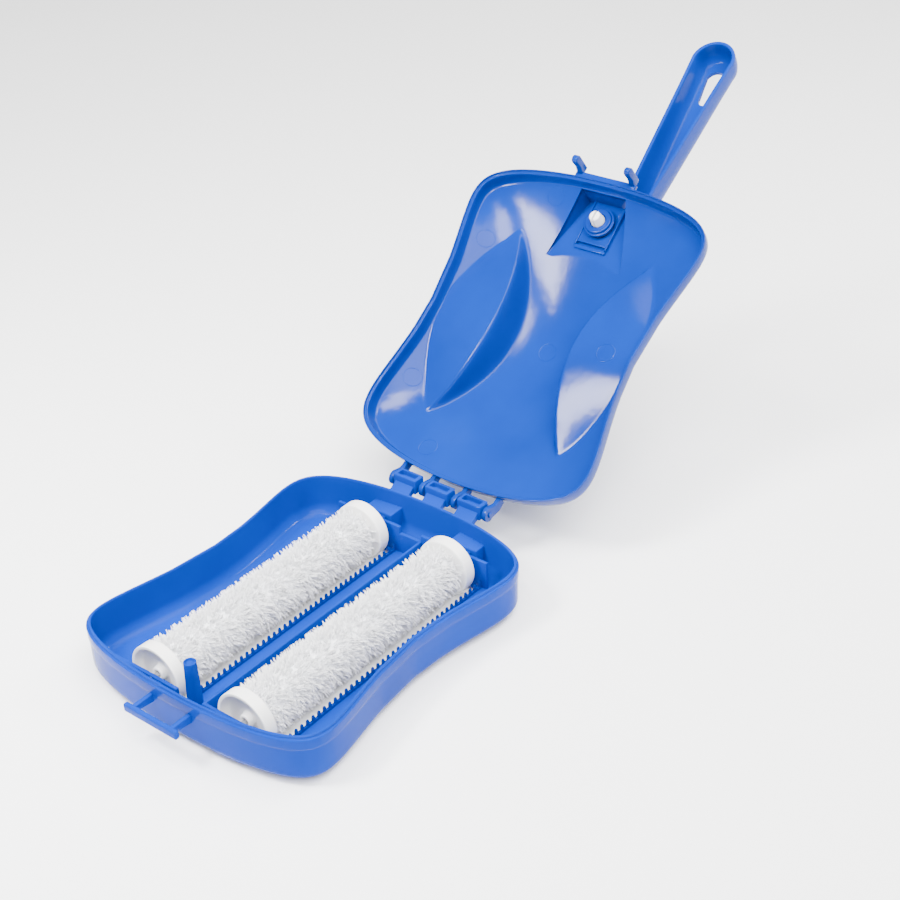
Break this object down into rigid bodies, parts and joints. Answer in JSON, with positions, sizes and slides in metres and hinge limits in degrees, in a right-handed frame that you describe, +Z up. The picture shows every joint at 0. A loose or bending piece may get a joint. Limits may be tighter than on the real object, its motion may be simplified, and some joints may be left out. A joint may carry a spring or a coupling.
{
  "type": "crumb sweeper",
  "caption": "Hand-held crumb sweeper lying open: waisted tray with a pair of spinning bristle rollers, hinged domed lid with finger grips, and a swivelling channel handle",
  "frame": {"origin": "on the flat underside of the tray, midway along the casing and in line with the handle, on the bar between the two roller openings", "axes": "+X from the latch end to the hinge end, +Y to the side of the left roller, +Z up out of the tray"},
  "size_m": [0.4045, 0.1222, 0.1627],
  "materials": {
    "casing_blue": "glossy blue moulded plastic",
    "lid_blue": "glossy blue moulded plastic",
    "handle_blue": "glossy blue moulded plastic",
    "bearing_blue": "blue moulded plastic",
    "comb_blue": "blue moulded plastic",
    "collar_blue": "blue moulded plastic",
    "hinge_rod_blue": "blue moulded plastic",
    "cap_white": "white moulded plastic, soft sheen",
    "bristle_white": "white nylon bristle",
    "pin_white": "white nylon, soft sheen",
    "stem_steel": "drawn steel wire"
  },
  "bodies": {
    "tray": {"tray_shell": "casing_blue", "lint_comb_left": "comb_blue", "lint_comb_right": "comb_blue", "bearing_front_left": "bearing_blue", "bearing_front_right": "bearing_blue", "bearing_rear_left": "bearing_blue", "bearing_rear_right": "bearing_blue", "hinge_rod": "hinge_rod_blue"},
    "lid": {"lid_shell": "lid_blue"},
    "handle": {"handle": "handle_blue", "handle_pin": "pin_white", "pin_collar": "collar_blue"},
    "roller_left": {"roller_left_stem": "stem_steel", "roller_left_bristles": "bristle_white", "roller_left_cap_front": "cap_white", "roller_left_cap_rear": "cap_white"},
    "roller_right": {"roller_right_stem": "stem_steel", "roller_right_bristles": "bristle_white", "roller_right_cap_front": "cap_white", "roller_right_cap_rear": "cap_white"}
  },
  "joints": [
    {"name": "lid_hinge", "type": "hinge", "parent": "tray", "child": "lid", "pos_m": [0.0841, 0, 0.0204], "axis": [0, -1, 0], "range_deg": [0, 140.1]},
    {"name": "handle_swivel", "type": "hinge", "parent": "lid", "child": "handle", "pos_m": [0.21472, 0, 0.09351], "axis": [0.6414, 0, -0.7672], "range_deg": [-180, 180]},
    {"name": "roller_left_spin", "type": "hinge", "parent": "tray", "child": "roller_left", "pos_m": [0, 0.0207, 0.0106], "axis": [1, 0, 0], "continuous": true},
    {"name": "roller_right_spin", "type": "hinge", "parent": "tray", "child": "roller_right", "pos_m": [0, -0.0253, 0.0106], "axis": [1, 0, 0], "continuous": true}
  ]
}
